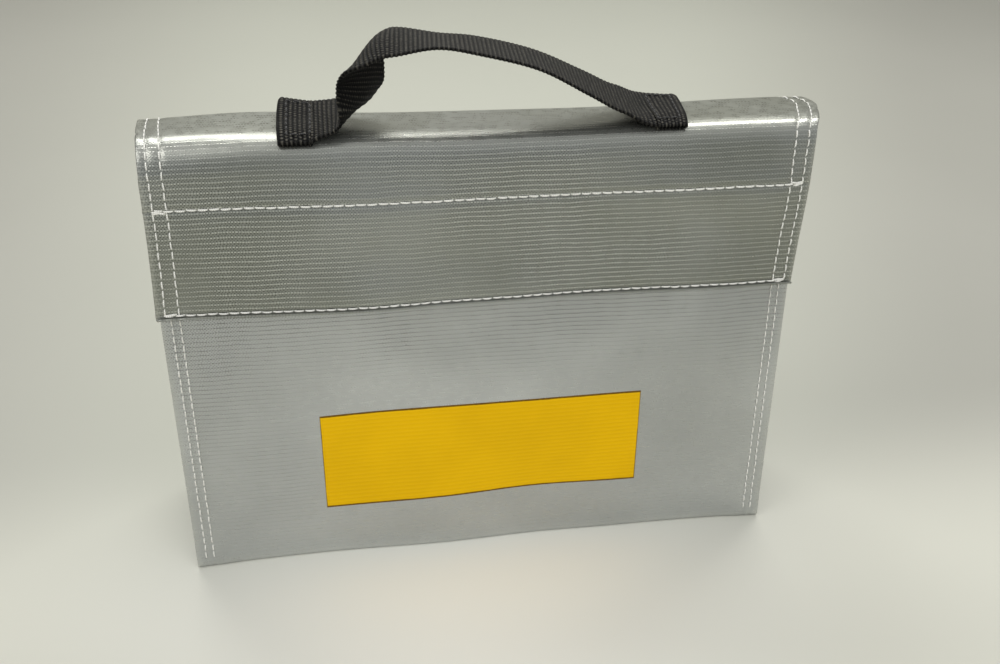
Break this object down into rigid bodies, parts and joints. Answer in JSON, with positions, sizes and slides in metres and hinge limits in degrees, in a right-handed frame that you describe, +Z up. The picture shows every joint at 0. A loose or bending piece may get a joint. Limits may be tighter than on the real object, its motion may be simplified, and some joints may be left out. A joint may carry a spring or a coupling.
{
  "type": "battery charging bag",
  "caption": "Silver coated cloth pouch for model batteries, with pleated sides, a closing flap held by hook and loop strips, and a black webbing carrying handle on top.",
  "frame": {"origin": "on the floor, at the middle of the base", "axes": "+X across the front, to the right as seen from the front; +Y from the front to the back, the front faces -Y; +Z up, from the base to the handle"},
  "size_m": [0.243, 0.064, 0.2076],
  "materials": {
    "silver_cloth": "ribbed glass cloth with a satin silver-grey coating",
    "loop_pile": "black brushed loop pile",
    "hook_tape": "black tape with rows of small hooks",
    "yellow_print": "flat yellow print with a thin dark border, no lettering",
    "black_webbing": "ribbed black webbing with a slight sheen",
    "black_thread": "twisted black sewing thread",
    "white_thread": "twisted off-white sewing thread"
  },
  "bodies": {
    "bag": {"front_panel": "silver_cloth", "back_panel": "silver_cloth", "base_panel": "silver_cloth", "left_gusset": "silver_cloth", "right_gusset": "silver_cloth", "loop_strip": "loop_pile", "label_panel": "yellow_print", "front_left_outer_thread": "white_thread", "front_left_inner_thread": "white_thread", "front_right_outer_thread": "white_thread", "front_right_inner_thread": "white_thread", "back_left_outer_thread": "white_thread", "back_left_inner_thread": "white_thread", "back_right_outer_thread": "white_thread", "back_right_inner_thread": "white_thread", "loop_lower_thread": "white_thread", "loop_upper_thread": "white_thread", "base_left_thread": "white_thread", "base_right_thread": "white_thread"},
    "top_strip": {"top_strip": "silver_cloth", "handle_left_root": "black_webbing", "handle_right_root": "black_webbing", "handle_left_end": "black_webbing", "handle_right_end": "black_webbing", "handle_left_end_thread": "black_thread", "handle_right_end_thread": "black_thread", "top_left_outer_thread": "white_thread", "top_left_inner_thread": "white_thread", "top_right_outer_thread": "white_thread", "top_right_inner_thread": "white_thread"},
    "flap": {"flap_panel": "silver_cloth", "hook_strip": "hook_tape", "flap_lower_thread": "white_thread", "flap_upper_thread": "white_thread", "flap_left_outer_thread": "white_thread", "flap_left_inner_thread": "white_thread", "flap_right_outer_thread": "white_thread", "flap_right_inner_thread": "white_thread"},
    "handle": {"handle_strap": "black_webbing"}
  },
  "joints": [
    {"name": "top_strip_fold", "type": "hinge", "parent": "bag", "child": "top_strip", "pos_m": [0, 0.00746, 0.17581], "axis": [-1, 0, 0], "range_deg": [0, 120]},
    {"name": "flap_fold", "type": "hinge", "parent": "top_strip", "child": "flap", "pos_m": [0, -0.01871, 0.17462], "axis": [-1, 0, 0], "range_deg": [0, 95]},
    {"name": "handle_swing", "type": "hinge", "parent": "top_strip", "child": "handle", "pos_m": [0, -0.0068, 0.179], "axis": [1, 0, 0], "range_deg": [-30, 30], "stiffness_Nm_per_rad": 0.015, "deforming": ["handle_left_root", "handle_right_root"]}
  ]
}
